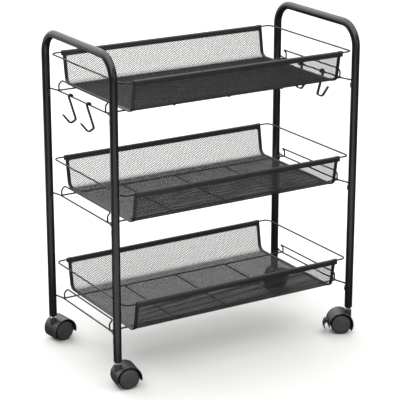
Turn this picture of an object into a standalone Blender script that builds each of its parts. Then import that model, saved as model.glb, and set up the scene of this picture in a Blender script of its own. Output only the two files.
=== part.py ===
"""Three-tier rolling utility cart: two bent-tube side frames, three open-ended mesh
trays hung on wire end frames, four S hooks and four hooded twin-wheel casters.
Metres, +Z up, +X along the trays, -Y the front. The origin is on the floor under the
middle of the whole cart's box, so the frames' own centre stands a little off it."""

import math

import bmesh
import bpy
from mathutils import Matrix, Vector

# Side frames
CENTRE = (-0.0162, -0.0069)  # the frames' own centre, from the origin
HALF_LENGTH = 0.256  # frame planes, from the centre along X
HALF_DEPTH = 0.130  # leg axes, from the centre along Y
TUBE_R = 0.0075
TUBE_WALL = 0.0012
ARCH_Z = 0.609  # axis of the arch's straight top
ARCH_BEND = 0.042
# Baskets
RIM_HEIGHTS = {"lower": 0.156, "middle": 0.3615, "upper": 0.563}
WIRE_R = 0.0015
RIM_X = HALF_LENGTH - 0.014
RIM_Y = HALF_DEPTH + 0.0061
RIM_BEND = 0.011
TRAY_HALF = RIM_X - 0.0223
SHEET = 0.0012
BINDING = (0.007, 0.0020)  # width and thickness of the folded strip at the tray's ends
HEM_DROP = 0.010
FLOOR_DROP = 0.0565  # tray floor below the rim wire
FLOOR_Y = HALF_DEPTH - 0.006
FOLD = 0.013
BASE_DROP = FLOOR_DROP + BINDING[1] / 2 + 0.0005 + WIRE_R  # base wires below the rim wire
BASE_Y = HALF_DEPTH - 0.036
RAIL_X = HALF_LENGTH - 0.006  # end rails, level with the base wires
CROSS_X = (-0.115, 0.0, 0.115)
GUARD = ((0.0, 0.0), (0.0002, 0.0120), (-0.0064, 0.0185))  # outward of the rail and above it
GAP = 0.0003
SOCKET_R = WIRE_R + 0.0017
SOCKET_Y = HALF_DEPTH - TUBE_R - SOCKET_R + 0.0008
SOCKET_DROP = 0.0095  # its middle, below the rail
# Casters
WHEEL_R = 0.020
TUBE_END = 2 * WHEEL_R + 0.0135  # lower ends of the tubes, above the floor
TRAIL = 0.016
HOOD_R = WHEEL_R + 0.0042
HOOD_WALL = 0.0013
HOOD_HALF = 0.0200
STEM_R = 0.0035
EAR = (HOOD_R + 0.0020, 0.0050)  # the brake lever's pin, from the wheel's centre
SWIVEL = {"front_left": -10, "front_right": 154, "rear_left": 6, "rear_right": 38}
# Hooks, bent from flat strip, each at its place along the end rail
STRIP = (0.0064, 0.0030)  # its width and thickness, with rolled edges
HOOKS = {"left_rear": (-1, 0.044), "left_front": (-1, -0.026),
         "right_rear": (1, 0.038), "right_front": (1, -0.032)}

CORNERS = {"front_left": (-1, -1), "front_right": (1, -1), "rear_left": (-1, 1), "rear_right": (1, 1)}
LOCKING = ("front_right",)


def clear_scene():
    for obj in list(bpy.data.objects):
        bpy.data.objects.remove(obj, do_unlink=True)
    for name in ("rolling_utility_cart", "cutters"):
        made = bpy.data.collections.new(name)
        bpy.context.scene.collection.children.link(made)


def collection(name):
    return bpy.data.collections[name]


def material(name, colour, roughness, metallic):
    mat = bpy.data.materials.new(name)
    mat.use_nodes = True
    shader = mat.node_tree.nodes["Principled BSDF"]
    shader.inputs["Base Color"].default_value = (*colour, 1.0)
    shader.inputs["Roughness"].default_value = roughness
    shader.inputs["Metallic"].default_value = metallic
    mat.diffuse_color = (*colour, 1.0)
    return mat


def add(name, data, mat=None, parent=None, where=(0, 0, 0), turn=(0, 0, 0), cutter=False):
    obj = bpy.data.objects.new(name, data)
    collection("cutters" if cutter else "rolling_utility_cart").objects.link(obj)
    obj.parent = parent
    obj.location = where
    obj.rotation_euler = turn
    if mat is not None:
        data.materials.append(mat)
    if cutter:
        obj.hide_render = True
        obj.display_type = "WIRE"
    return obj


def empty(name, parent, where, angle=0.0):
    obj = bpy.data.objects.new(name, None)
    obj.empty_display_size = 0.02
    collection("rolling_utility_cart").objects.link(obj)
    obj.parent = parent
    obj.location = where
    obj.rotation_euler = (0, 0, angle)
    return obj


def rounded(points, radius, steps=3, closed=False):
    """The path through these points with each corner turned into an arc."""
    points = [Vector(point) for point in points]
    count = len(points)
    radii = radius if isinstance(radius, (list, tuple)) else [radius] * count
    path = []
    for i, corner in enumerate(points):
        if not closed and i in (0, count - 1):
            path.append(corner)
            continue
        back = (points[i - 1] - corner).normalized()
        ahead = (points[(i + 1) % count] - corner).normalized()
        half = back.angle(ahead) / 2
        if radii[i] == 0 or half > math.radians(89.5):
            path.append(corner)
            continue
        reach = radii[i] / math.tan(half)
        centre = corner + (back + ahead).normalized() * radii[i] / math.sin(half)
        start, end = corner + back * reach - centre, corner + ahead * reach - centre
        turn = start.angle(end)
        for step in range(steps + 1):
            part = step / steps
            path.append(centre + (start * math.sin((1 - part) * turn)
                                  + end * math.sin(part * turn)) / math.sin(turn))
    return path


def path_curve(name, path, closed=False):
    curve = bpy.data.curves.new(name, "CURVE")
    curve.dimensions = "3D"
    spline = curve.splines.new("POLY")
    spline.points.add(len(path) - 1)
    for slot, point in zip(spline.points, path):
        slot.co = (*point, 1.0)
    spline.use_cyclic_u = closed
    return curve


def wire_curve(name, path, radius, sides=2, closed=False, caps=True):
    curve = path_curve(name, path, closed)
    curve.bevel_depth = radius
    curve.bevel_resolution = sides
    curve.use_fill_caps = caps and not closed
    return curve


def as_mesh(curve):
    """The mesh that this curve evaluates to, with its loose caps welded."""
    holder = bpy.data.objects.new("holder", curve)
    bpy.context.scene.collection.objects.link(holder)
    bpy.context.view_layer.update()
    graph = bpy.context.evaluated_depsgraph_get()
    mesh = bpy.data.meshes.new_from_object(holder.evaluated_get(graph))
    bpy.data.objects.remove(holder, do_unlink=True)
    bpy.data.curves.remove(curve)
    shape = bmesh.new()
    shape.from_mesh(mesh)
    bmesh.ops.remove_doubles(shape, verts=shape.verts, dist=1e-6)
    bmesh.ops.recalc_face_normals(shape, faces=shape.faces)
    shape.to_mesh(mesh)
    shape.free()
    return mesh


def smooth(obj, angle=40):
    obj.data.shade_smooth()
    obj.data.set_sharp_from_angle(angle=math.radians(angle))


def boolean(obj, other, operation):
    modifier = obj.modifiers.new(other.name, "BOOLEAN")
    modifier.operation = operation
    modifier.solver = "EXACT"
    modifier.object = other


def cylinders(name, places, radius, depth, turn=(0, 0, 0), segments=12):
    """One mesh of equal cylinders, each centred at one of these places."""
    mesh = bpy.data.meshes.new(name)
    shape = bmesh.new()
    spin = Matrix.Rotation(turn[0], 4, "X") @ Matrix.Rotation(turn[1], 4, "Y")
    for place in places:
        bmesh.ops.create_cone(shape, cap_ends=True, segments=segments, radius1=radius, radius2=radius,
                              depth=depth, matrix=Matrix.Translation(place) @ spin)
    shape.to_mesh(mesh)
    shape.free()
    return mesh


def turned(name, profile, mat, parent, where, turn=(0, 0, 0), steps=20):
    """A profile of (radius, height), outer side from the top down, turned about local Z."""
    mesh = bpy.data.meshes.new(name)
    shape = bmesh.new()
    verts = [shape.verts.new((radius, 0, height)) for radius, height in profile]
    for first, second in zip(verts, verts[1:]):
        shape.edges.new((first, second))
    if profile[0][0] > 0 and profile[-1][0] > 0:
        shape.edges.new((verts[-1], verts[0]))
    shape.to_mesh(mesh)
    shape.free()
    obj = add(name, mesh, mat, parent, where, turn)
    screw = obj.modifiers.new("turn", "SCREW")
    screw.axis = "Z"
    screw.steps = steps
    screw.render_steps = steps
    screw.use_merge_vertices = True
    screw.merge_threshold = 1e-5
    screw.use_smooth_shade = True
    return obj


def plate(name, outline, thickness):
    """A flat outline in X and Z, with this thickness along Y."""
    curve = path_curve(name, [(x, z, 0.0) for x, z in outline], closed=True)
    curve.dimensions = "2D"
    curve.fill_mode = "BOTH"
    curve.extrude = thickness / 2
    mesh = as_mesh(curve)
    mesh.transform(Matrix.Rotation(math.pi / 2, 4, "X"))
    return mesh


def arc(centre, radius, start, end, steps):
    return [(centre[0] + radius * math.cos(math.radians(start + (end - start) * i / steps)),
             centre[1] + radius * math.sin(math.radians(start + (end - start) * i / steps)))
            for i in range(steps + 1)]


def side_frame(name, side, mat, cart):
    path = rounded([(0, -HALF_DEPTH, TUBE_END), (0, -HALF_DEPTH, ARCH_Z),
                    (0, HALF_DEPTH, ARCH_Z), (0, HALF_DEPTH, TUBE_END)], ARCH_BEND, steps=6)
    tube = as_mesh(wire_curve(name, path, TUBE_R, sides=5, caps=False))
    frame = add(name, tube, mat, cart, (side * HALF_LENGTH, 0, 0))
    wall = frame.modifiers.new("wall", "SOLIDIFY")
    wall.thickness = TUBE_WALL
    wall.offset = -1
    places = [(0, y, rim - BASE_DROP - SOCKET_DROP) for rim in RIM_HEIGHTS.values() for y in (-SOCKET_Y, SOCKET_Y)]
    sockets = cylinders(name + "_sockets", places, SOCKET_R, 0.009, segments=10)
    bores = cylinders(name + "_bores", places, WIRE_R + 2 * GAP, 0.02, segments=8)
    for mesh, operation in ((sockets, "UNION"), (bores, "DIFFERENCE")):
        cutter = add(mesh.name, mesh, parent=cart, where=(side * HALF_LENGTH, 0, 0), cutter=True)
        boolean(frame, cutter, operation)
    smooth(frame)
    return frame


def leg_plug(name, where, mat, cart):
    inner = TUBE_R - TUBE_WALL - GAP
    lip, top, bore = 0.0032, 0.024, STEM_R + GAP
    profile = [(inner - 0.0008, top), (inner, top - 0.0012), (inner, lip), (TUBE_R, lip), (TUBE_R, 0.0014),
               (TUBE_R - 0.0014, 0.0), (bore, 0.0), (bore, top)]
    return turned(name, profile, mat, cart, where, steps=16)


def caster(corner, mats, cart):
    sx, sy = CORNERS[corner]
    where = (sx * HALF_LENGTH, sy * HALF_DEPTH, 0)
    swivel = empty("swivel_" + corner, cart, where, math.radians(SWIVEL[corner]))
    locking = corner in LOCKING
    hub, top = (TRAIL, WHEEL_R), 2 * WHEEL_R
    low, high = -14, 214
    shell = arc(hub, HOOD_R, low, high, 18) + arc(hub, HOOD_R - HOOD_WALL, high, low, 18)
    hood = add("caster_hood_" + corner, plate("hood", shell, 2 * HOOD_HALF), mats["hood"], swivel)
    web = arc(hub, HOOD_R - 0.0007, low, high, 12) + [(TRAIL - 0.006, WHEEL_R - 0.006),
                                                      (TRAIL + 0.006, WHEEL_R - 0.006)]
    ear = (TRAIL + EAR[0], WHEEL_R + EAR[1])
    joined = [plate("web_" + corner, web, 0.005),
              cylinders("boss_" + corner, [(0, 0, top - 0.0015)], STEM_R + 0.0029, 0.013, segments=16)]
    if locking:
        arm = [(ear[0] - 0.0060, ear[1] - 0.0020), (ear[0], ear[1] - 0.0021),
               (ear[0], ear[1] + 0.0021), (ear[0] - 0.0060, ear[1] + 0.0020)]
        joined += [plate("arm_" + corner, arm, 0.0049),
                   cylinders("ear_" + corner, [(ear[0], 0, ear[1])], 0.0021, 0.0049,
                             turn=(math.pi / 2, 0), segments=12)]
    for mesh in joined:
        boolean(hood, add(mesh.name, mesh, parent=swivel, cutter=True), "UNION")
    cuts = [cylinders("axle_bore_" + corner, [(hub[0], 0, hub[1])], 0.0023, 0.02, turn=(math.pi / 2, 0)),
            cylinders("wheel_wells_" + corner, [(hub[0], side * 0.0056, hub[1]) for side in (-1, 1)],
                      WHEEL_R + 0.0007, 0.0060, turn=(math.pi / 2, 0), segments=24),
            cylinders("stem_bore_" + corner, [(0, 0, top + 0.0030)], STEM_R + GAP, 0.018, segments=16)]
    if locking:
        cuts.append(cylinders("pin_bore_" + corner, [(ear[0], 0, ear[1])], 0.0014, 0.02,
                              turn=(math.pi / 2, 0)))
    for mesh in cuts:
        boolean(hood, add(mesh.name, mesh, parent=swivel, cutter=True), "DIFFERENCE")
    smooth(hood)

    collar, head, foot = top + 0.0054, TUBE_END + 0.0200, top - 0.0055
    stem = [(0, head), (STEM_R - 0.0008, head), (STEM_R, head - 0.0013), (STEM_R, collar + 0.0014),
            (STEM_R + 0.0017, collar + 0.0014), (STEM_R + 0.0017, collar), (STEM_R, collar), (STEM_R, foot), (0, foot)]
    turned("caster_stem_" + corner, stem, mats["zinc"], swivel, (0, 0, 0), steps=16)
    axle = cylinders("axle", [(0, 0, 0)], 0.0020, 2 * (HOOD_HALF - 0.0043), turn=(math.pi / 2, 0))
    smooth(add("caster_axle_" + corner, axle, mats["zinc"], swivel, (TRAIL, 0, WHEEL_R)))
    inner, outer, bore = 0.0031, HOOD_HALF - 0.0010, 0.0023
    wheel = [(0, outer), (WHEEL_R - 0.0090, outer - 0.0004), (WHEEL_R - 0.0030, outer - 0.0014),
             (WHEEL_R, outer - 0.0042), (WHEEL_R, inner + 0.0015), (WHEEL_R - 0.0015, inner), (bore, inner),
             (bore, outer - 0.0030), (0, outer - 0.0030)]
    for side, turn in (("inner", -math.pi / 2), ("outer", math.pi / 2)):
        turned("wheel_%s_%s" % (corner, side), wheel, mats["wheel"], swivel, (TRAIL, 0, WHEEL_R),
               (turn, 0, 0))
    if locking:
        brake_lever(corner, ear, mats["hood"], swivel)


def brake_lever(corner, ear, mat, swivel):
    """A curved pedal behind the hood: two cheeks carry it on a pin through the ear."""
    pad = arc((-0.0097, -0.0070), 0.0170, 40, -37, 10) + arc((-0.0167, -0.0080), 0.0211, -26, 32, 10)
    lever = add("brake_lever_" + corner, plate("pad", pad, 0.0110), mat, swivel, (ear[0], 0, ear[1]))
    cheek = arc((-0.0132, -0.0075), 0.0190, 28, -5, 5) + [(-0.0012, -0.0012), (-0.0012, 0.0012)]
    joined = [plate("cheek_%s_%+d" % (corner, side), cheek, 0.0018) for side in (-1, 1)]
    for side, mesh in zip((-1, 1), joined):
        mesh.transform(Matrix.Translation((0, side * 0.0040, 0)))
    joined.append(cylinders("pin_" + corner, [(0, 0, 0)], 0.0011, 0.0094, turn=(math.pi / 2, 0)))
    for mesh in joined:
        boolean(lever, add(mesh.name, mesh, parent=swivel, where=(ear[0], 0, ear[1]), cutter=True), "UNION")
    smooth(lever)


def tray_section(rim):
    """Half of the tray's section in Y and Z, from the outer hem to the middle of the floor."""
    wrap = WIRE_R + GAP + BINDING[1] / 2
    hem = [(RIM_Y + wrap, rim - HEM_DROP)] + arc((RIM_Y, rim), wrap, 0, 180, 6)
    wall = rounded([(RIM_Y - wrap, rim, 0), (FLOOR_Y, rim - FLOOR_DROP, 0), (0, rim - FLOOR_DROP, 0)],
                   FOLD, steps=5)
    return hem + [(point.x, point.y) for point in wall[1:-1]]


def tray(name, rim, mat, cart):
    """The section drawn out along X as one sheet, thicker where the binding folds over its ends."""
    half = tray_section(rim)
    outline = half + [(-y, z) for y, z in reversed(half)]
    curve = path_curve(name, [(y, z, 0.0) for y, z in outline])
    curve.dimensions = "2D"
    curve.fill_mode = "NONE"
    curve.extrude = TRAY_HALF
    mesh = as_mesh(curve)
    # Local X, Y and Z become the cart's Y, Z and X.
    mesh.transform(Matrix(((0, 0, 1, 0), (1, 0, 0, 0), (0, 1, 0, 0), (0, 0, 0, 1))))
    width, thick = BINDING
    shape = bmesh.new()
    shape.from_mesh(mesh)
    for side in (-1, 1):
        for inset in (width, width + 0.0006):
            bmesh.ops.bisect_plane(shape, geom=shape.verts[:] + shape.edges[:] + shape.faces[:],
                                   plane_co=(side * (TRAY_HALF - inset), 0, 0), plane_no=(1, 0, 0))
    shape.to_mesh(mesh)
    shape.free()
    obj = add(name, mesh, mat, cart)
    bound = obj.vertex_groups.new(name="binding")
    bound.add([v.index for v in mesh.vertices if abs(v.co.x) > TRAY_HALF - width - 0.0003], 1.0, "REPLACE")
    sheet = obj.modifiers.new("sheet", "SOLIDIFY")
    sheet.thickness = thick
    sheet.offset = 0
    sheet.use_even_offset = True
    sheet.vertex_group = "binding"
    sheet.thickness_vertex_group = SHEET / thick
    smooth(obj)
    return obj


def basket(tier, rim, mats, cart):
    tray("mesh_tray_" + tier, rim, mats["mesh"], cart)
    ring = rounded([(sx * RIM_X, sy * RIM_Y, rim) for sx, sy in ((-1, -1), (1, -1), (1, 1), (-1, 1))],
                   RIM_BEND, steps=4, closed=True)
    add("rim_wire_" + tier, wire_curve("rim", ring, WIRE_R, closed=True), mats["wire"], cart)
    base_z = rim - BASE_DROP
    under_z = base_z - 2 * WIRE_R - GAP
    reach = RAIL_X - WIRE_R - GAP
    for sy, label in ((-1, "front"), (1, "rear")):
        path = [(-reach, sy * BASE_Y, base_z), (reach, sy * BASE_Y, base_z)]
        add("base_wire_%s_%s" % (tier, label), wire_curve("base", path, WIRE_R), mats["wire"], cart)
    for x, label in zip(CROSS_X, ("left", "middle", "right")):
        path = [(x, -BASE_Y - 0.003, under_z), (x, BASE_Y + 0.003, under_z)]
        add("cross_wire_%s_%s" % (tier, label), wire_curve("cross", path, WIRE_R), mats["wire"], cart)
    for side, label in ((-1, "left"), (1, "right")):
        end_frame("end_frame_%s_%s" % (tier, label), side, base_z, mats["wire"], cart)


def end_frame(name, side, z, mat, cart):
    """The end rail, hooked down into the legs' sockets, with the guard rail welded on it."""
    half = [(side * HALF_LENGTH, -SOCKET_Y, z - SOCKET_DROP - 0.0035), (side * HALF_LENGTH, -SOCKET_Y, z),
            (side * RAIL_X, -BASE_Y - 0.003, z)]
    path = half + [(x, -y, h) for x, y, h in reversed(half)]
    rail = as_mesh(wire_curve(name, rounded(path, 0.0035, steps=2), WIRE_R, sides=1))
    foot = BASE_Y - 0.0040
    half = [(side * (RAIL_X + x), -foot, z + h) for x, h in GUARD]
    path = half + [(x, -y, h) for x, y, h in reversed(half)]
    bends = [0, 0.0070, 0.0045, 0.0045, 0.0070, 0]
    guard = as_mesh(wire_curve(name + "_guard", rounded(path, bends, steps=3), WIRE_R, sides=1))
    obj = add(name, rail, mat, cart)
    boolean(obj, add(guard.name, guard, parent=cart, cutter=True), "UNION")
    smooth(obj)
    return obj


def hook(name, side, y, mat, cart):
    """An S hook over the end rail, hanging with its own centre of mass under the rail."""
    width, thick = STRIP
    over = WIRE_R + thick / 2 + 2 * GAP
    curl = [(over * math.cos(math.radians(a)), over * math.sin(math.radians(a)) - GAP)
            for a in range(-40, 181, 20)]
    leg = rounded([(-over, -0.0005, 0), (0.0060, -0.0455, 0), (-0.0060, -0.0500, 0), (-0.0185, -0.0310, 0)],
                  [0, 0.0035, 0.0055, 0], steps=3)
    path = [Vector((x, z)) for x, z in curl] + [Vector((point.x, point.y)) for point in leg[1:]]
    weight = sum((b - a).length for a, b in zip(path, path[1:]))
    centre = sum(((a + b) / 2 * (b - a).length for a, b in zip(path, path[1:])), Vector((0, 0))) / weight
    lean = math.atan2(centre.x, -centre.y)
    turn = Matrix.Rotation(-lean, 2)
    spun = [turn @ point for point in path]
    strip = wire_curve(name, [(-side * point.x, point.y, 0) for point in spun], thick / 2, sides=1)
    strip.extrude = (width - thick) / 2
    shape = as_mesh(strip)
    shape.transform(Matrix.Rotation(math.pi / 2, 4, "X"))
    rail = (side * RAIL_X, y, RIM_HEIGHTS["upper"] - BASE_DROP)
    smooth(add(name, shape, mat, cart, rail))


def build():
    clear_scene()
    mats = {
        "tube": material("black_powder_coat", (0.022, 0.022, 0.024), 0.36, 0.0),
        "wire": material("black_coated_wire", (0.018, 0.018, 0.020), 0.42, 0.0),
        "mesh": material("black_expanded_mesh", (0.030, 0.030, 0.032), 0.50, 0.0),
        "plug": material("black_nylon_plug", (0.020, 0.020, 0.020), 0.50, 0.0),
        "hood": material("black_nylon_hood", (0.028, 0.028, 0.030), 0.45, 0.0),
        "wheel": material("black_caster_wheel", (0.024, 0.024, 0.026), 0.50, 0.0),
        "zinc": material("zinc_plated_steel", (0.62, 0.62, 0.64), 0.28, 1.0),
    }
    cart = empty("cart", None, (*CENTRE, 0))
    side_frame("side_frame_left", -1, mats["tube"], cart)
    side_frame("side_frame_right", 1, mats["tube"], cart)
    for corner, (sx, sy) in CORNERS.items():
        where = (sx * HALF_LENGTH, sy * HALF_DEPTH, TUBE_END - 0.0035)
        leg_plug("leg_plug_" + corner, where, mats["plug"], cart)
        caster(corner, mats, cart)
    for tier, rim in RIM_HEIGHTS.items():
        basket(tier, rim, mats, cart)
    for place, (side, y) in HOOKS.items():
        hook("hook_" + place, side, y, mats["wire"], cart)


build()
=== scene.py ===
import math

import bpy
import numpy as np
from mathutils import Matrix, Vector


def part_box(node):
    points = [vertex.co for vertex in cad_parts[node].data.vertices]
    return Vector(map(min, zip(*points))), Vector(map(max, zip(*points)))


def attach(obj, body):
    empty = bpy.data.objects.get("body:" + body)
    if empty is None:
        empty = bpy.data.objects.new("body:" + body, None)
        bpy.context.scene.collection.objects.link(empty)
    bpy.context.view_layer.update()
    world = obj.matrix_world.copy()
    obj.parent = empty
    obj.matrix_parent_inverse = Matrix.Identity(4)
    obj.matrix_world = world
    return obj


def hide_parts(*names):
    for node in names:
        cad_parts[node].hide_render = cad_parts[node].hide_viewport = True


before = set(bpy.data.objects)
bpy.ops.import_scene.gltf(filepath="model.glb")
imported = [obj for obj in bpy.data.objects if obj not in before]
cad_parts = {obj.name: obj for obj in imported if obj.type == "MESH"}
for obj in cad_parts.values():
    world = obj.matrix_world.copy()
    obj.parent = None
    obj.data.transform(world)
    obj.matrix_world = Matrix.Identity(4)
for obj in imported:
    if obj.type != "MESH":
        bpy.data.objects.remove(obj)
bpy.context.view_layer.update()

mm = 0.001
corners = ("front_left", "front_right", "rear_left", "rear_right")
lockingCorners = ("front_right",)
tiers = ("lower", "middle", "upper")


def centreOf(*nodes):
    boxes = [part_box(node) for node in nodes]
    low = Vector([min(box[0][axis] for box in boxes) for axis in range(3)])
    high = Vector([max(box[1][axis] for box in boxes) for axis in range(3)])
    return (low + high) / 2


cart = {
    "middle": centreOf("side_frame_left", "side_frame_right"),
    "halfLength": 256 * mm,  # from the middle to each frame's plane, along X
    "halfDepth": 130 * mm,  # from the middle to the legs, along Y
}
originX, originY = cart["middle"].x, cart["middle"].y
rimHeights = {tier: centreOf("rim_wire_" + tier).z for tier in tiers}
print("frame loaded:", len(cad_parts), "nodes, middle", [round(v, 4) for v in cart["middle"]])


def srgb(hexColour):
    # A colour written as the screen shows it, as the linear numbers that a shader takes.
    channels = [int(hexColour[i:i + 2], 16) / 255 for i in (1, 3, 5)]
    return [c / 12.92 if c <= 0.04045 else ((c + 0.055) / 1.055) ** 2.4 for c in channels] + [1.0]


def addNode(tree, kind, settings=None, **links):
    node = tree.nodes.new(kind)
    for name, value in (settings or {}).items():
        if name in node.inputs:
            node.inputs[name].default_value = value
        else:
            setattr(node, name, value)
    for name, source in links.items():
        tree.links.new(source, node.inputs[name.replace("_", " ")])
    return node


def mouldedOrCoated(name, look):
    # A surface with a fine relief: its colour and gloss wander a little, and a bump gives the texture.
    material = bpy.data.materials.new(name)
    material.use_nodes = True
    tree = material.node_tree
    shader = tree.nodes["Principled BSDF"]
    shader.inputs["Metallic"].default_value = look.get("metallic", 0.0)
    if "ior" in look:
        shader.inputs["IOR"].default_value = look["ior"]
    shader.inputs["Specular IOR Level"].default_value = look.get("specular", 0.5)
    place = addNode(tree, "ShaderNodeTexCoord").outputs["Object"]
    if "stretch" in look:
        mapping = addNode(tree, "ShaderNodeMapping", {"Scale": look["stretch"]}, Vector=place)
        place = mapping.outputs["Vector"]
    relief = addNode(tree, "ShaderNodeTexNoise", {
        "Scale": 1 / look["reliefSize"], "Detail": 2.0, "Roughness": 0.55}, Vector=place)
    drift = addNode(tree, "ShaderNodeTexNoise", {
        "Scale": 1 / look["driftSize"], "Detail": 3.0, "Roughness": 0.6}, Vector=place)
    colour = addNode(tree, "ShaderNodeValToRGB", {}, Fac=drift.outputs["Fac"])
    colour.color_ramp.elements[0].position = 0.3
    colour.color_ramp.elements[1].position = 0.7
    colour.color_ramp.elements[0].color = srgb(look["colours"][0])
    colour.color_ramp.elements[1].color = srgb(look["colours"][1])
    gloss = addNode(tree, "ShaderNodeMapRange", {
        "From Min": 0.25, "From Max": 0.75, "To Min": look["roughness"][0], "To Max": look["roughness"][1]},
        Value=drift.outputs["Fac"])
    bump = addNode(tree, "ShaderNodeBump", {
        "Strength": look["bumpStrength"], "Distance": look["bumpHeight"]}, Height=relief.outputs["Fac"])
    tree.links.new(colour.outputs["Color"], shader.inputs["Base Color"])
    tree.links.new(gloss.outputs["Result"], shader.inputs["Roughness"])
    tree.links.new(bump.outputs["Normal"], shader.inputs["Normal"])
    return material


# Steel tube with polyester powder coat, sprayed and baked: the melt leaves a faint orange peel, about 2 mm
# from crest to crest, which breaks the long highlights up softly.
powderCoat = mouldedOrCoated("powderCoatedSteel", {
    "colours": ("#0e0e0f", "#121213"), "roughness": (0.26, 0.34), "ior": 1.5,
    "reliefSize": 2.0 * mm, "bumpStrength": 0.35, "bumpHeight": 0.03 * mm, "driftSize": 45 * mm})
# Drawn wire, powder coated: the same skin on a thin round, flatter, so its highlight stays thin and grey.
coatedWire = mouldedOrCoated("powderCoatedWire", {
    "colours": ("#0c0c0d", "#101011"), "roughness": (0.32, 0.42), "ior": 1.5, "specular": 0.32,
    "reliefSize": 1.2 * mm, "bumpStrength": 0.3, "bumpHeight": 0.02 * mm, "driftSize": 20 * mm})
# Expanded steel sheet, dip coated: a satin skin that is fuller in the diamonds' corners. The grain of the
# coating is about 0.3 mm and is drawn at 1 mm, or it would not show.
coatedMesh = mouldedOrCoated("coatedExpandedSteel", {
    "colours": ("#0f0f10", "#151516"), "roughness": (0.42, 0.56), "ior": 1.5, "specular": 0.3,
    "reliefSize": 1.0 * mm, "bumpStrength": 0.25, "bumpHeight": 0.03 * mm, "driftSize": 30 * mm})
# Folded steel strip round the mesh's edges, coated with it: flat enough to look like one soft dark band.
coatedStrip = mouldedOrCoated("coatedFoldedStrip", {
    "colours": ("#0f0f10", "#141415"), "roughness": (0.42, 0.52), "ior": 1.5, "specular": 0.45,
    "reliefSize": 1.5 * mm, "bumpStrength": 0.35, "bumpHeight": 0.04 * mm, "driftSize": 25 * mm})
# Injection-moulded nylon: the steel mould's spark-eroded grain makes it satin. It is 0.2 mm, drawn at 0.7 mm.
mouldedNylon = mouldedOrCoated("mouldedNylon", {
    "colours": ("#121213", "#171718"), "roughness": (0.42, 0.52), "ior": 1.53, "specular": 0.4,
    "reliefSize": 0.7 * mm, "bumpStrength": 0.3, "bumpHeight": 0.03 * mm, "driftSize": 12 * mm})
# Moulded nylon again, in the hoods: the same grain, with the faint wander of the melt's flow.
hoodNylon = mouldedOrCoated("mouldedNylonHood", {
    "colours": ("#232324", "#2b2b2c"), "roughness": (0.38, 0.50), "ior": 1.53,
    "reliefSize": 0.8 * mm, "bumpStrength": 0.3, "bumpHeight": 0.03 * mm, "driftSize": 14 * mm})
# Moulded polypropylene wheel discs: softer and greyer than nylon, with a low waxy sheen.
discPolypropylene = mouldedOrCoated("mouldedPolypropylene", {
    "colours": ("#333334", "#3d3d3e"), "roughness": (0.34, 0.44), "ior": 1.49,
    "reliefSize": 1.0 * mm, "bumpStrength": 0.25, "bumpHeight": 0.03 * mm, "driftSize": 11 * mm})
# The wheels' treads: the same plastic, scuffed rough by rolling. Their near-black colour is painted shade for
# the dark gap between the disc's edge and the hood's lip.
treadPaintedShade = mouldedOrCoated("treadPaintedShade", {
    "colours": ("#070707", "#0d0d0d"), "roughness": (0.6, 0.8), "ior": 1.49,
    "reliefSize": 0.9 * mm, "bumpStrength": 0.5, "bumpHeight": 0.05 * mm, "driftSize": 4 * mm})
# Turned steel, bright zinc plated: fine turning marks run round it under a cool bright plate. They are
# 0.15 mm apart in the metal and drawn at 0.5 mm.
zincPlate = mouldedOrCoated("zincPlatedSteel", {
    "colours": ("#c4c7cb", "#d4d6d8"), "roughness": (0.20, 0.32), "metallic": 1.0,
    "stretch": (0.05, 0.05, 1.0),
    "reliefSize": 0.5 * mm, "bumpStrength": 0.25, "bumpHeight": 0.02 * mm, "driftSize": 5 * mm})
print("materials made:", len(bpy.data.materials))


def roundedPath(points, radius, steps=8, closed=False):
    # The path through these points with each corner turned into an arc.
    points = [Vector(point) for point in points]
    count = len(points)
    radii = radius if isinstance(radius, (list, tuple)) else [radius] * count
    path = []
    for i, corner in enumerate(points):
        if not closed and i in (0, count - 1):
            path.append(corner)
            continue
        back = (points[i - 1] - corner).normalized()
        ahead = (points[(i + 1) % count] - corner).normalized()
        half = back.angle(ahead) / 2
        if radii[i] == 0 or half > math.radians(89.5):
            path.append(corner)
            continue
        reach = radii[i] / math.tan(half)
        centre = corner + (back + ahead).normalized() * radii[i] / math.sin(half)
        start, end = corner + back * reach - centre, corner + ahead * reach - centre
        turn = start.angle(end)
        for step in range(steps + 1):
            part = step / steps
            spoke = start * math.sin((1 - part) * turn) + end * math.sin(part * turn)
            path.append(centre + spoke / math.sin(turn))
    return path


def densified(path, longest, closed=False):
    # More points along the long straights, so that no face is a long sliver.
    made = []
    ends = path[1:] + path[:1] if closed else path[1:]
    for start, end in zip(path, ends):
        count = max(1, math.ceil((end - start).length / longest))
        made += [start.lerp(end, i / count) for i in range(count)]
    return made if closed else made + [path[-1]]


def ringsAlong(path, closed=False):
    # At each point: place, tangent, two sides that don't twist, and how much a bend stretches the section.
    count = len(path)
    tangents = []
    for i in range(count):
        back = path[i] - path[i - 1] if closed or i > 0 else path[1] - path[0]
        ahead = path[(i + 1) % count] - path[i] if closed or i < count - 1 else path[-1] - path[-2]
        tangents.append((back.normalized() + ahead.normalized()).normalized())
    side = tangents[0].orthogonal().normalized()
    frames = []
    for i, tangent in enumerate(tangents):
        side = (side - tangent * side.dot(tangent)).normalized()
        stretch = 1.0
        if closed or 0 < i < count - 1:
            back = (path[i] - path[i - 1]).normalized()
            stretch = 1 / max(0.5, tangent.dot(back))  # keeps the round full where the path bends
        frames.append((path[i], tangent, side.copy(), tangent.cross(side), stretch))
    return frames


def angles(whole, steps):
    return [whole * i / steps for i in range(steps + 1)]


def roundRings(rings, sides):
    # The vertices of round rings, each given as its place, two sides and radius.
    return [place + (side * math.cos(a) + up * math.sin(a)) * max(radius, 0.01 * mm)
            for place, side, up, radius in rings for a in angles(2 * math.pi, sides)[:-1]]


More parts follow.
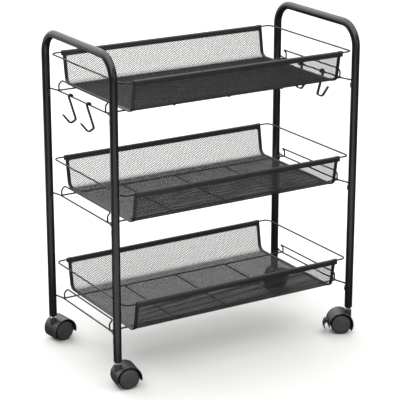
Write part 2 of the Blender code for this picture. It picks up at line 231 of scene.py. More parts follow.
def bridge(ringCount, sides, closed):
    # The faces between rings of vertices that follow each other in the list.
    faces = []
    for ring in range(ringCount if closed else ringCount - 1):
        here, there = ring * sides, (ring + 1) % ringCount * sides
        for k in range(sides):
            following = (k + 1) % sides
            faces.append((here + k, here + following, there + following, there + k))
    return faces


def cappedBridge(ringCount, sides):
    # The same, closed by one face over the first ring and one over the last.
    last = (ringCount - 1) * sides
    return bridge(ringCount, sides, False) + [tuple(range(sides))[::-1], tuple(range(last, last + sides))]


def wireParts(path, radius, sides=16, closed=False, tip=None):
    # A round wire along a path. Its ends are sheared and rounded by tip.
    frames = ringsAlong(path, closed)
    tip = 0.3 * radius if tip is None else tip
    rings = [(place, side, up, radius) for place, _, side, up, _ in frames]
    if not closed:
        caps = []
        for end in (0, -1):
            place, tangent, side, up, _ = frames[end]
            inward = tangent if end == 0 else -tangent
            cap = [(place + inward * tip * (1 - math.sin(a)), side, up, radius - tip * (1 - math.cos(a)))
                   for a in angles(math.pi / 2, 4)[:0:-1]]
            caps.append(cap + [(place + inward * tip, side, up, radius)])
        rings = caps[0] + rings[1:-1] + caps[1][::-1]
    faces = bridge(len(rings), sides, True) if closed else cappedBridge(len(rings), sides)
    return roundRings(rings, sides), faces


def turnedParts(profile, steps=48, wobble=0.0):
    # A closed profile of (radius, height) turned about Z. A radius of 0 makes a point on the axis.
    verts, faces, rings = [], [], []
    for index, (radius, height) in enumerate(profile):
        if radius <= 0:
            rings.append([len(verts)] * steps)
            verts.append(Vector((0, 0, height)))
            continue
        rings.append(list(range(len(verts), len(verts) + steps)))
        for a in angles(2 * math.pi, steps)[:-1]:
            lump = 1 + wobble * math.sin(3 * a + index) * math.sin(2 * a + 1.7)
            verts.append(Vector((radius * lump * math.cos(a), radius * lump * math.sin(a), height)))
    pairs = list(zip(rings, rings[1:]))
    if profile[0][0] > 0 and profile[-1][0] > 0:
        pairs.append((rings[-1], rings[0]))
    for upper, lower in pairs:
        for k in range(steps):
            following = (k + 1) % steps
            face = tuple(dict.fromkeys((upper[k], lower[k], lower[following], upper[following])))
            if len(face) > 2:
                faces.append(face)
    return verts, faces


def moved(parts, matrix):
    verts, faces = parts
    return [matrix @ Vector(vert) for vert in verts], faces


def joined(*several):
    verts, faces = [], []
    for partVerts, partFaces in several:
        start = len(verts)
        verts += partVerts
        faces += [tuple(index + start for index in face) for face in partFaces]
    return verts, faces


sharpAngle = 38  # degrees: an edge folded by more is drawn sharp


def meshFrom(name, parts, sharp=sharpAngle):
    verts, faces = parts
    mesh = bpy.data.meshes.new(name)
    mesh.from_pydata([tuple(vert) for vert in verts], [], faces)
    mesh.validate()
    mesh.shade_smooth()
    mesh.set_sharp_from_angle(angle=math.radians(sharp))
    return mesh


def solidFrom(name, parts, sharp=sharpAngle):
    # The same for a closed shape, with its faces turned outward where the whole of it is inside out.
    mesh = meshFrom(name, parts, sharp)
    volume = 0.0
    for face in mesh.polygons:
        first = mesh.vertices[face.vertices[0]].co
        for k in range(1, len(face.vertices) - 1):
            second, third = [mesh.vertices[index].co for index in face.vertices[k:k + 2]]
            volume += first.dot(second.cross(third))
    if volume < 0:
        mesh.flip_normals()
    return mesh


def placed(name, data):
    # A new object in the scene.
    thing = bpy.data.objects.new(name, data)
    bpy.context.scene.collection.objects.link(thing)
    return thing


def addPiece(name, mesh, material, body, replaced):
    mesh.materials.append(material)
    piece = placed(name, mesh)
    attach(piece, body)
    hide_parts(*replaced)


def afterBooleans(name, mesh, steps):
    # The mesh after exact Booleans with other meshes, each given with its operation.
    holder = placed(name + "Holder", mesh)
    helpers = [holder]
    for other, operation in steps:
        helpers.append(placed(name + "Tool", other))
        change = holder.modifiers.new("join", "BOOLEAN")
        change.solver = "EXACT"
        change.operation = operation
        change.object = helpers[-1]
    bpy.context.view_layer.update()
    made = bpy.data.meshes.new_from_object(holder.evaluated_get(bpy.context.evaluated_depsgraph_get()))
    for helper in helpers:
        bpy.data.objects.remove(helper, do_unlink=True)
    made.name = name
    made.shade_smooth()
    made.set_sharp_from_angle(angle=math.radians(sharpAngle))
    return made


def atCart(x, y, z):
    return Vector((originX + x, originY + y, z))


sideFrame = {
    "radius": 7.5 * mm, "wall": 1.2 * mm, "lowEnd": 53.5 * mm, "archHeight": 609 * mm, "archBend": 42 * mm,
    "sides": 40, "bendSteps": 22, "endRound": 0.35 * mm,
    # Sockets: on each leg's inner side, under the end rail's level.
    "socketRadius": 3.2 * mm, "socketBore": 2.1 * mm, "socketHalf": 4.5 * mm, "socketIn": 9.9 * mm,
    "socketDrop": 9.5 * mm, "socketEase": 0.5 * mm,
    # Weld beads: upright in the two grooves between socket and leg.
    "beadRadius": 0.95 * mm, "beadHalf": 3.9 * mm, "beadOut": 2.35 * mm, "beadIn": 2.45 * mm, "ripples": 4,
}
railBelowRim = 59.5 * mm  # end rails and base wires, below the rim wire


def pipeParts(path, radius, wall, sides, endRound):
    # A pipe with open, slightly rounded ends: out along the outside and back along the bore.
    frames = ringsAlong(path)
    rings = []
    for stations, size, grow in ((frames, radius, -1), (frames[::-1], radius - wall, 1)):
        for i, (place, tangent, side, up, _) in enumerate(stations):
            if i in (0, len(stations) - 1):
                inward = tangent if place is frames[0][0] else -tangent
                ring = [(place, size + grow * endRound), (place + inward * endRound, size)]
                rings += [(where, side, up, width) for where, width in (ring if i == 0 else ring[::-1])]
            else:
                rings.append((place, side, up, size))
    return roundRings(rings, sides), bridge(len(rings), sides, True)


def beadParts(start, end, radius, ripples):
    # A weld bead: a short round that swells and narrows as each drop of metal froze.
    path = [start.lerp(end, i / 24) for i in range(25)]
    verts, faces = wireParts(path, radius, sides=10, tip=radius * 0.9)
    along = end - start
    for vert in verts:
        part = (vert - start).dot(along) / along.length_squared
        middle = start.lerp(end, part)
        swell = 1 + 0.16 * math.sin(2 * math.pi * ripples * part)
        vert[:] = middle + (vert - middle) * swell
    return verts, faces


def buildSideFrame(label, sign):
    size = sideFrame
    depth, arch = cart["halfDepth"], size["archHeight"]
    points = [atCart(sign * cart["halfLength"], y, z)
              for y, z in ((-depth, size["lowEnd"]), (-depth, arch), (depth, arch), (depth, size["lowEnd"]))]
    path = densified(roundedPath(points, size["archBend"], size["bendSteps"]), 30 * mm)
    pieces = [pipeParts(path, size["radius"], size["wall"], size["sides"], size["endRound"])]
    outer, bore, half, ease = size["socketRadius"], size["socketBore"], size["socketHalf"], size["socketEase"]
    sleeve = [(bore + ease, half), (outer - ease, half), (outer - ease * 0.3, half - ease * 0.3),
              (outer, half - ease), (outer, ease - half), (outer - ease * 0.3, ease * 0.3 - half),
              (outer - ease, -half), (bore + ease, -half), (bore, ease - half), (bore, half - ease)]
    up = Vector((0, 0, size["beadHalf"]))
    for rim in rimHeights.values():
        for legSide in (-1, 1):
            socketY = legSide * (depth - size["socketIn"])
            place = atCart(sign * cart["halfLength"], socketY, rim - railBelowRim - size["socketDrop"])
            pieces.append(moved(turnedParts(sleeve, 28), Matrix.Translation(place)))
            for beadSide in (-1, 1):
                middle = place + Vector((beadSide * size["beadOut"], legSide * size["beadIn"], 0))
                pieces.append(beadParts(middle - up, middle + up, size["beadRadius"], size["ripples"]))
    mesh = meshFrom("tubeFrame_" + label, joined(*pieces))
    addPiece("tubeFrame_" + label, mesh, powderCoat, "cart_frame", ["side_frame_" + label])


buildSideFrame("left", -1)
buildSideFrame("right", 1)
print("side frames built")


basket = {
    "wireRadius": 1.5 * mm, "rimX": 242 * mm, "rimY": 136.1 * mm, "rimBend": 11 * mm,
    "trayHalf": 219.7 * mm, "floorDrop": 56.5 * mm, "floorY": 124 * mm, "fold": 13 * mm,
    # Hems, measured along the sheet, and bindings.
    "hemDrop": 6.6 * mm, "hemInside": 7.0 * mm, "hemThick": 1.1 * mm, "wrapRadius": 2.8 * mm,
    "hemShort": 0.4 * mm, "toothDepth": 0.9 * mm,
    "bindingWidth": 7 * mm, "bindingThick": 2.0 * mm, "bindingCorner": 2.5 * mm, "bindingEdge": 0.35 * mm,
    # Mesh: a diamond's long way runs along the tray. It goes on a little under the hems and the bindings.
    "diamondLong": 6.0 * mm, "diamondShort": 3.4 * mm, "strandWidth": 0.80 * mm, "strandThick": 0.55 * mm,
    "underHem": 2 * mm, "underBinding": 3 * mm, "wallLength": 52 * mm,
    # Wires under the floor.
    "crossDrop": 62.8 * mm, "baseY": 94 * mm, "baseReach": 248.2 * mm, "crossX": (-115 * mm, 0.0, 115 * mm),
    "crossPast": 3 * mm,
}


def traySection(rim):
    # The tray's middle surface in Y and Z, from the front hem's lower edge round to the rear hem's.
    size = basket
    wrap, rimY = size["wrapRadius"], size["rimY"]
    half = [Vector((rimY + wrap, rim - size["hemDrop"]))]
    half += [Vector((rimY + wrap * math.cos(a), rim + wrap * math.sin(a))) for a in angles(math.pi, 16)]
    wall = roundedPath([(rimY - wrap, rim, 0), (size["floorY"], rim - size["floorDrop"], 0),
                        (0, rim - size["floorDrop"], 0)], size["fold"], steps=12)
    half += [Vector((point.x, point.y)) for point in wall[1:-1]]
    return [Vector((-p.x, p.y)) for p in half] + half[::-1]


class SheetLine:
    # A line in Y and Z that can be asked for its place and its normal at a length along it.
    def __init__(self, points):
        self.points = np.array([tuple(p) for p in points])
        steps = np.linalg.norm(np.diff(self.points, axis=0), axis=1)
        self.marks = np.concatenate([[0], np.cumsum(steps)])
        self.length = self.marks[-1]

    def place(self, marks):
        return np.stack([np.interp(marks, self.marks, self.points[:, i]) for i in (0, 1)], -1)

    def at(self, marks):
        reach = 0.15 * mm  # the normal is taken over this much each way, so that corners are soft
        ahead = self.place(np.clip(marks + reach, 0, self.length))
        ahead = ahead - self.place(np.clip(marks - reach, 0, self.length))
        ahead /= np.linalg.norm(ahead, axis=-1, keepdims=True)
        return self.place(marks), np.stack([-ahead[..., 1], ahead[..., 0]], -1)


def sheetGrid(line, xs, marks, thick):
    # A closed sheet over a grid of (x, length) places. xs and marks are both arrays of rows by columns.
    rows, columns = xs.shape
    place, normal = line.at(marks)
    layers = []
    for side in (0.5, -0.5):
        points = np.empty((rows, columns, 3))
        points[..., 0] = originX + xs
        points[..., 1] = originY + place[..., 0] + normal[..., 0] * thick * side
        points[..., 2] = place[..., 1] + normal[..., 1] * thick * side
        layers.append(points.reshape(-1, 3))
    verts = [Vector(point) for point in np.concatenate(layers)]
    index = np.arange(rows * columns).reshape(rows, columns)
    back = rows * columns
    faces = []
    for i in range(rows - 1):
        for j in range(columns - 1):
            a, b, c, d = index[i, j], index[i, j + 1], index[i + 1, j + 1], index[i + 1, j]
            faces.append((int(a), int(b), int(c), int(d)))
            faces.append((int(d) + back, int(c) + back, int(b) + back, int(a) + back))
    rim = list(index[0, :-1]) + list(index[:-1, -1]) + list(index[-1, :0:-1]) + list(index[:0:-1, 0])
    for a, b in zip(rim, rim[1:] + rim[:1]):
        faces.append((int(b), int(a), int(a) + back, int(b) + back))
    return verts, faces


def strandMesh(name, line, firstRow, lastRow, rowPitch, columns, start, startMark):
    # Expanded metal as it is made: rows of strands that zigzag between each other's corners and meet there.
    size = basket
    columnPitch = size["diamondLong"] / 2
    xs = start + np.arange(columns) * columnPitch
    rows = np.arange(firstRow, lastRow)
    # Corner j of row i is up where i + j is odd, so neighbouring rows touch corner to corner.
    lift = ((rows[:, None] + np.arange(columns)[None, :]) % 2) * rowPitch
    marks = startMark + rows[:, None] * rowPitch + lift
    half = size["strandWidth"] / 2 * 1.12  # wider along the section, because the strand runs aslant
    section = [(-half, -1), (-half, 1), (half, 1), (half, -1)]
    verts = np.empty((len(rows), columns, 4, 3))
    for k, (shift, side) in enumerate(section):
        place, normal = line.at(marks + shift)
        verts[..., k, 0] = originX + xs[None, :]
        verts[..., k, 1] = originY + place[..., 0] + normal[..., 0] * side * size["strandThick"] / 2
        verts[..., k, 2] = place[..., 1] + normal[..., 1] * side * size["strandThick"] / 2
    base = (np.arange(len(rows))[:, None] * columns + np.arange(columns - 1)[None, :]) * 4
    quads = []
    for k in range(4):
        following = (k + 1) % 4
        strip = np.stack([base + k, base + 4 + k, base + 4 + following, base + following], -1)
        quads.append(strip.reshape(-1, 4))
    ends = np.arange(len(rows)) * columns * 4
    quads.append(np.stack([ends, ends + 1, ends + 2, ends + 3], -1))
    ends = ends + (columns - 1) * 4
    quads.append(np.stack([ends + 3, ends + 2, ends + 1, ends], -1))
    quads = np.concatenate(quads)
    points = verts.reshape(-1, 3)
    mesh = bpy.data.meshes.new(name)
    mesh.vertices.add(len(points))
    mesh.vertices.foreach_set("co", points.astype(np.float32).ravel())
    mesh.loops.add(quads.size)
    mesh.loops.foreach_set("vertex_index", quads.astype(np.int32).ravel())
    mesh.polygons.add(len(quads))
    mesh.polygons.foreach_set("loop_start", np.arange(0, quads.size, 4, dtype=np.int32))
    mesh.update(calc_edges=True)
    mesh.validate()
    return mesh


def buildMesh(tier, line, hemEnd):
    # Whole rows between the hems and whole columns between the bindings, in three pieces.
    size = basket
    startMark = hemEnd - size["underHem"]
    between, columnPitch = line.length - 2 * startMark, size["diamondLong"] / 2
    rowCount = round(between / (size["diamondShort"] / 2))
    rowPitch = between / (rowCount + 1)
    columns = 2 * int((size["trayHalf"] - size["underBinding"]) / columnPitch) + 1
    start = -(columns - 1) / 2 * columnPitch
    wallRows = round(size["wallLength"] / rowPitch)
    for label, first, last in (("Front", 0, wallRows), ("Floor", wallRows, rowCount - wallRows),
                               ("Rear", rowCount - wallRows, rowCount)):
        name = "mesh%s_%s" % (label, tier)
        mesh = strandMesh(name, line, first, last, rowPitch, columns, start, startMark)
        addPiece(name, mesh, coatedMesh, "cart_frame", ["mesh_tray_" + tier])


def buildHems(tier, line, marksDown, hemEnd):
    # A strip folded over the rim wire. Its inner edge is cut through the diamonds, so it is toothed.
    size = basket
    teeth = int(2 * size["trayHalf"] / (size["diamondLong"] / 2))
    reach = size["trayHalf"] - size["hemShort"]
    across = np.linspace(-reach, reach, 2 * teeth + 1)
    tooth = np.where(np.arange(len(across)) % 2 == 0, 0.0, size["toothDepth"])
    for label, sign in (("Front", 1), ("Rear", -1)):
        marks = np.repeat(marksDown[:, None], len(across), 1)
        marks = np.concatenate([marks, hemEnd - size["toothDepth"] + tooth[None, :]])
        xs = np.repeat(across[None, :], len(marks), 0)
        if sign < 0:
            xs, marks = xs[::-1], (line.length - marks)[::-1]
        name = "hem%s_%s" % (label, tier)
        mesh = meshFrom(name, sheetGrid(line, xs, marks, size["hemThick"]))
        addPiece(name, mesh, coatedStrip, "cart_frame", ["mesh_tray_" + tier])


def buildBindings(tier, line, marksDown, hemEnd):
    # A strip folded over each end, wider in a round where it meets the hems.
    size = basket
    total, width, radius = line.length, size["bindingWidth"], size["bindingCorner"]
    marks = np.concatenate([marksDown, hemEnd + np.linspace(0, radius, 8),
                            np.linspace(hemEnd + radius, total / 2, 70)[1:]])
    marks = np.concatenate([marks, (total - marks[:-1])[::-1]])
    fromHem = np.minimum(marks, total - marks) - hemEnd
    inside = np.clip(radius - fromHem, 0, radius)
    widen = np.where(fromHem < 0, radius, radius - np.sqrt(np.maximum(0, radius ** 2 - inside ** 2)))
    place, normal = line.at(marks)
    # Across the strip: its open edge, its flat, and the round fold at the tray's end.
    fold = size["bindingThick"] / 2
    stations = [(0.0, 0.55), (size["bindingEdge"], 1.0), (width / 2, 1.0)]
    stations += [(width - fold + fold * math.sin(a), max(0.06, math.cos(a)))
                 for a in angles(math.pi / 2, 6)]
    loop = [(1, station) for station in stations] + [(-1, station) for station in reversed(stations)]
    for label, sign in (("Left", -1), ("Right", 1)):
        layers = []
        for side, (out, share) in loop:
            points = np.empty((len(marks), 3))
            reach = size["trayHalf"] - width + out - (widen if out < width / 2 else 0)
            points[:, 0] = originX + sign * reach
            points[:, 1] = originY + place[:, 0] + normal[:, 0] * side * share * fold
            points[:, 2] = place[:, 1] + normal[:, 1] * side * share * fold
            layers.append(points)
        verts = [Vector(layer[i]) for i in range(len(marks)) for layer in layers]
        faces = cappedBridge(len(marks), len(loop))
        if sign > 0:
            faces = [face[::-1] for face in faces]
        name = "binding%s_%s" % (label, tier)
        mesh = meshFrom(name, (verts, faces))
        addPiece(name, mesh, coatedStrip, "cart_frame", ["mesh_tray_" + tier])


def buildTray(tier):
    size = basket
    line = SheetLine(traySection(rimHeights[tier]))
    wrapLength = math.pi * size["wrapRadius"]
    hemEnd = size["hemDrop"] + wrapLength + size["hemInside"]
    # The hems' and bindings' rows, as lengths along the sheet: close together round the wire.
    marksDown = np.concatenate([[0, 0.3 * mm], np.linspace(3 * mm, size["hemDrop"], 3),
                                size["hemDrop"] + np.linspace(0, wrapLength, 15)[1:],
                                [hemEnd - 4 * mm, hemEnd - 1.2 * mm]])
    buildMesh(tier, line, hemEnd)
    buildHems(tier, line, marksDown, hemEnd)
    buildBindings(tier, line, marksDown, hemEnd)


def buttParts(wire, joint):
    # The fillet where the end of a wire is welded to another wire: a short collar, widest at the joint.
    path = [wire.lerp(joint, i / 6) for i in range(7)]
    verts, faces = wireParts(path, basket["wireRadius"], sides=14, tip=0.2 * mm)
    for vert in verts:
        part = (vert - wire).dot(joint - wire) / (joint - wire).length_squared
        middle = wire.lerp(joint, part)
        vert[:] = middle + (vert - middle) * (1.02 + 0.32 * part ** 2)
    return verts, faces


def neckParts(low, high):
    # The neck of metal that a spot weld leaves between two crossed wires.
    height = (high - low).length
    profile = [((1.05 + 0.55 * (2 * t - 1) ** 2) * mm, (t - 0.5) * height) for t in [i / 8 for i in range(9)]]
    turned = turnedParts([(0, -height / 2)] + profile + [(0, height / 2)], 14, wobble=0.05)
    turned = (turned[0], [face[::-1] for face in turned[1]])
    spin = (high - low).to_track_quat("Z", "Y").to_matrix().to_4x4()
    return moved(turned, Matrix.Translation((low + high) / 2) @ spin)


endFrame = {
    "railX": 250 * mm, "socketY": 120.1 * mm, "pin": 13 * mm, "cornerY": 97 * mm, "railBend": 3.5 * mm,
    "guardFoot": 90 * mm, "guardBends": (0, 7 * mm, 4.5 * mm, 4.5 * mm, 7 * mm, 0),
    "guard": ((0.0, 0.0), (0.2 * mm, 12 * mm), (-6.4 * mm, 18.5 * mm)),  # outward of the rail and above it
}
fineStep = 25 * mm  # the longest stretch of wire without a vertex
collar = 3 * mm  # length of a butt weld's fillet


def addWire(kind, place, node, *parts):
    mesh = meshFrom(kind, joined(*parts))
    addPiece(kind + place, mesh, coatedWire, "cart_frame", [node + place])


def wireAlong(path, closed=False):
    return wireParts(densified(path, fineStep, closed), basket["wireRadius"], closed=closed)


def mirrored(half):
    # The front half of an end frame's wire, as (X, Y, height), with its mirror image at the rear.
    return half + [(x, -y, height) for x, y, height in reversed(half)]


def buildWires(tier):
    size, end, rim = basket, endFrame, rimHeights[tier]
    baseZ, underZ = rim - railBelowRim, rim - size["crossDrop"]
    ring = [atCart(sx * size["rimX"], sy * size["rimY"], rim)
            for sx, sy in ((-1, -1), (1, -1), (1, 1), (-1, 1))]
    ring = roundedPath(ring, size["rimBend"], 10, closed=True)
    addWire("rimWire", "_" + tier, "rim_wire", wireAlong(ring, closed=True))
    for sign, label in ((-1, "front"), (1, "rear")):
        y = sign * size["baseY"]
        path = [atCart(x * size["baseReach"], y, baseZ) for x in (-1, 1)]
        necks = [neckParts(atCart(x, y, underZ), atCart(x, y, baseZ)) for x in size["crossX"]]
        inward = size["baseReach"] - collar
        butts = [buttParts(atCart(x * inward, y, baseZ), atCart(x * end["railX"], y, baseZ)) for x in (-1, 1)]
        addWire("baseWire", "_%s_%s" % (tier, label), "base_wire", wireAlong(path), *necks, *butts)
    for x, label in zip(size["crossX"], ("left", "middle", "right")):
        path = [atCart(x, y * (size["baseY"] + size["crossPast"]), underZ) for y in (-1, 1)]
        addWire("crossWire", "_%s_%s" % (tier, label), "cross_wire", wireAlong(path))
    railPoints = mirrored([(cart["halfLength"], -end["socketY"], -end["pin"]),
                           (cart["halfLength"], -end["socketY"], 0), (end["railX"], -end["cornerY"], 0)])
    guardPoints = mirrored([(end["railX"] + out, -end["guardFoot"], height) for out, height in end["guard"]])
    for sign, label in ((-1, "left"), (1, "right")):
        rail, guard = [[atCart(sign * x, y, baseZ + height) for x, y, height in points]
                       for points in (railPoints, guardPoints)]
        rail = wireAlong(roundedPath(rail, end["railBend"], 8))
        guard = wireAlong(roundedPath(guard, end["guardBends"], 10))
        railX = sign * end["railX"]
        butts = [buttParts(atCart(railX, y, baseZ + collar), atCart(railX, y, baseZ))
                 for y in (-end["guardFoot"], end["guardFoot"])]
        addWire("endFrame", "_%s_%s" % (tier, label), "end_frame", rail, guard, *butts)


for tier in tiers:
    buildTray(tier)
    buildWires(tier)
    print("basket built:", tier)


hook = {
    "over": 3.6 * mm, "gap": 0.3 * mm, "width": 6.4 * mm, "thick": 3.0 * mm, "curlFrom": -40,
    "leg": ((-3.6, -0.5), (6.0, -45.5), (-6.0, -50.0), (-18.5, -31.0)),  # mm
    "bends": (0, 3.5 * mm, 5.5 * mm, 0),
    "places": {"left_rear": (-1, 44 * mm), "left_front": (-1, -26 * mm),
               "right_rear": (1, 38 * mm), "right_front": (1, -32 * mm)},
}


def hangingLine():
    # The S bend in its own plane, leaned until its weight hangs under the rail.
    size = hook
    legCorners = [(x * mm, z * mm, 0) for x, z in size["leg"]]
    lines, over, gap = [], size["over"], size["gap"]
    for curlStep, bendSteps in ((20, 3), (10, 12)):  # as the CAD counts them, for the lean, then finer
        curl = [Vector((over * math.cos(a), over * math.sin(a) - gap, 0))
                for a in map(math.radians, range(size["curlFrom"], 181, curlStep))]
        lines.append(curl + roundedPath(legCorners, size["bends"], bendSteps)[1:])
    spans = list(zip(lines[0], lines[0][1:]))
    weight = sum((b - a).length for a, b in spans)
    centre = sum(((a + b) / 2 * (b - a).length for a, b in spans), Vector((0, 0, 0))) / weight
    turn = Matrix.Rotation(-math.atan2(centre.x, -centre.y), 3, "Z")
    return [turn @ point for point in lines[1]]


def stripParts(path, across, width, thick):
    # A strip with rolled edges along a path: flat faces, a half round on each side, and sheared, eased ends.
    frames = ringsAlong(path)
    flat, rounds, ease = width / 2 - thick / 2, 10, 0.35 * mm
    rings = [(place, tangent, stretch, 0.0) for place, tangent, _, _, stretch in frames]
    tips = []
    for index, sign in ((0, 1), (-1, -1)):
        place, tangent, stretch, _ = rings[index]
        inward = tangent * sign * ease
        tips.append([(place + inward * (1 - math.sin(a)), tangent, stretch, ease * (1 - math.cos(a)))
                     for a in angles(math.pi / 2, 3)[::-1]])
    rings = tips[0] + rings[1:-1] + tips[1][::-1]
    verts = []
    for place, tangent, stretch, inset in rings:
        out = across.cross(tangent).normalized()
        rolled = thick / 2 - inset
        for turn, shift in ((0, flat), (math.pi, -flat)):
            for a in [turn + a for a in angles(math.pi, rounds)]:
                aside, away = shift + rolled * math.sin(a), out * rolled * math.cos(a) * stretch
                verts.append(place + across * aside + away)
    return verts, cappedBridge(len(rings), 2 * (rounds + 1))


def buildHooks():
    line = hangingLine()
    railZ = rimHeights["upper"] - railBelowRim
    for place, (sign, y) in hook["places"].items():
        path = [atCart(sign * (endFrame["railX"] - point.x), y, railZ + point.y) for point in line]
        mesh = solidFrom("sHook", stripParts(path, Vector((0, 1, 0)), hook["width"], hook["thick"]))
        addPiece("sHook_" + place, mesh, coatedWire, "hook_" + place, ["hook_" + place])


buildHooks()
print("hooks built")


caster = {
    "wheelRadius": 20 * mm, "hoodRadius": 24.2 * mm, "shell": 1.3 * mm, "hoodHalf": 20 * mm, "hoodSteps": 56,
    "hoodFrom": -14, "hoodTo": 214, "hoodCorner": 3.5 * mm, "hoodEdge": 0.35 * mm,  # from and to in degrees
    "webHalf": 2.5 * mm, "webIn": 0.6 * mm, "webReach": 6 * mm,
    "bossRadius": 6.4 * mm, "bossLow": 32 * mm, "bossTop": 45 * mm, "bossEase": 0.6 * mm,
    "ear": (26.2 * mm, 5 * mm), "earRadius": 2.1 * mm, "earLength": 4.9 * mm, "armHalf": 2.45 * mm,
    # Cut free: the axle, the lever's pin, the stem, and a room for each wheel.
    "axleBore": 2.3 * mm, "pinBore": 1.4 * mm, "boreLength": 20 * mm,
    "stemRoom": 0.3 * mm, "stemBoreMiddle": 43 * mm, "stemBoreLength": 18 * mm,
    "wheelRoom": 0.7 * mm, "roomWidth": 6.0 * mm, "roomMiddle": 5.6 * mm,
    "axleRadius": 2.0 * mm, "axleLength": 31.4 * mm, "axleEase": 0.3 * mm,
}
alongY = Matrix.Rotation(math.pi / 2, 4, "X")  # turns what was made about Z to lie along a caster's Y


def hoodShell(trail):
    # The cover over both wheels: an arc of a thin shell about the wheels' centre, in the caster's X, Y and Z.
    size = caster
    outer, inner, half = size["hoodRadius"], size["hoodRadius"] - size["shell"], size["hoodHalf"]
    edge, corner, steps = size["hoodEdge"], size["hoodCorner"], size["hoodSteps"]
    across = [half - edge, 19.0 * mm, 18.0 * mm, 16.8 * mm, 13 * mm, 7 * mm]
    across = across + [0.0] + [-y for y in reversed(across)]
    section = [(outer, y) for y in across]
    section += [(outer - edge * 0.3, -half + edge * 0.3), (outer - edge, -half), (inner + edge, -half),
                (inner + edge * 0.3, -half + edge * 0.3)]
    section += [(inner, -y) for y in across]
    section += [(inner + edge * 0.3, half - edge * 0.3), (inner + edge, half), (outer - edge, half),
                (outer - edge * 0.3, half - edge * 0.3)]
    verts = []
    for i in range(steps + 1):
        for radius, y in section:
            # Near its sides the hood ends a little sooner, in a round corner.
            near = max(0.0, corner - (half - abs(y)))
            back = (corner - math.sqrt(max(0.0, corner ** 2 - near ** 2))) / outer
            start, end = math.radians(size["hoodFrom"]) + back, math.radians(size["hoodTo"]) - back
            a = start + (end - start) * (i / steps)
            x, z = radius * math.cos(a), radius * math.sin(a)
            verts.append(Vector((trail + x, y, size["wheelRadius"] + z)))
    return verts, cappedBridge(steps + 1, len(section))


def plateParts(outline, half):
    # A flat outline in X and Z, drawn along Y.
    return [Vector((x, y, z)) for y in (-half, half) for x, z in outline], cappedBridge(2, len(outline))


def arcPoints(centre, radius, start, end, steps):
    return [(centre[0] + radius * math.cos(math.radians(start + (end - start) * i / steps)),
             centre[1] + radius * math.sin(math.radians(start + (end - start) * i / steps)))
            for i in range(steps + 1)]


def cylinderParts(radius, length, steps, ease=0.0):
    half = length / 2
    profile = [(0, half), (radius, half), (radius, -half), (0, -half)]
    if ease:
        profile = [(0, half), (radius - ease, half), (radius, half - ease), (radius, ease - half),
                   (radius - ease, -half), (0, -half)]
    return turnedParts(profile, steps)


def crossRod(place, radius, length, steps):
    return moved(cylinderParts(radius, length, steps), Matrix.Translation(place) @ alongY)


def earPlace(trail):
    return Vector((trail + caster["ear"][0], 0, caster["wheelRadius"] + caster["ear"][1]))


def buildHood(corner, local, trail):
    # Shell, web and stem boss as one moulding, and the brake lever's ear on a locking caster.
    size, locking = caster, corner in lockingCorners
    radius, reach = size["wheelRadius"], size["webReach"]
    web = arcPoints((trail, radius), size["hoodRadius"] - size["webIn"], size["hoodFrom"], size["hoodTo"], 40)
    web += [(trail - reach, radius - reach), (trail + reach, radius - reach)]
    wide, low, top, ease = size["bossRadius"], size["bossLow"], size["bossTop"], size["bossEase"]
    boss = [(0, top), (wide - ease, top), (wide - ease * 0.3, top - ease * 0.3), (wide, top - ease),
            (wide, low), (0, low)]
    added = {"web": plateParts(web, size["webHalf"]), "boss": turnedParts(boss, 40)}
    ear, hub = earPlace(trail), Vector((trail, 0, radius))
    cuts = [crossRod(hub, size["axleBore"], size["boreLength"], 24)]
    cuts += [crossRod(hub + Vector((0, side * size["roomMiddle"], 0)), radius + size["wheelRoom"],
                      size["roomWidth"], 72) for side in (-1, 1)]
    cuts.append(moved(cylinderParts(stem["radius"] + size["stemRoom"], size["stemBoreLength"], 32),
                      Matrix.Translation((0, 0, size["stemBoreMiddle"]))))
    if locking:
        x, z, high = ear.x, ear.z, size["earRadius"]
        arm = [(x - 6 * mm, z - 2.0 * mm), (x, z - high), (x, z + high), (x - 6 * mm, z + 2.0 * mm)]
        added["arm"] = plateParts(arm, size["armHalf"])
        added["ear"] = crossRod(ear, high, size["earLength"], 24)
        cuts.append(crossRod(ear, size["pinBore"], size["boreLength"], 20))
    steps = [(solidFrom(name, parts), "UNION") for name, parts in added.items()]
    steps += [(solidFrom("cut", parts), "DIFFERENCE") for parts in cuts]
    name = "casterHood_" + corner
    mesh = afterBooleans(name, solidFrom("hoodShell", hoodShell(trail)), steps)
    mesh.transform(local)
    addPiece(name, mesh, hoodNylon, "caster_" + corner, ["caster_hood_" + corner])


wheelDisc = [  # radius and distance from the caster's middle, mm, from the face's centre outward
    (0, 19.0), (3, 18.99), (6, 18.93), (9, 18.79), (11, 18.64), (13, 18.42), (15, 18.12), (16.4, 17.84),
    (17.3, 17.60), (17.9, 17.30), (18.2, 16.9), (18.2, 16.2), (17.0, 15.9), (0, 15.9)]
wheelTread = [  # the same, round the tread with its groove and back through the hub
    (17.6, 16.4), (18.5, 16.25), (19.2, 15.8), (19.7, 15.1), (20.0, 14.2), (20.0, 10.4), (19.8, 10.2),
    (19.8, 9.6), (20.0, 9.4), (20.0, 4.9), (19.8, 4.1), (19.3, 3.45), (18.5, 3.15), (17.4, 3.1), (16.6, 3.6),
    (9.0, 3.6), (7.6, 3.1), (2.3, 3.1), (2.3, 15.95), (17.6, 15.95)]


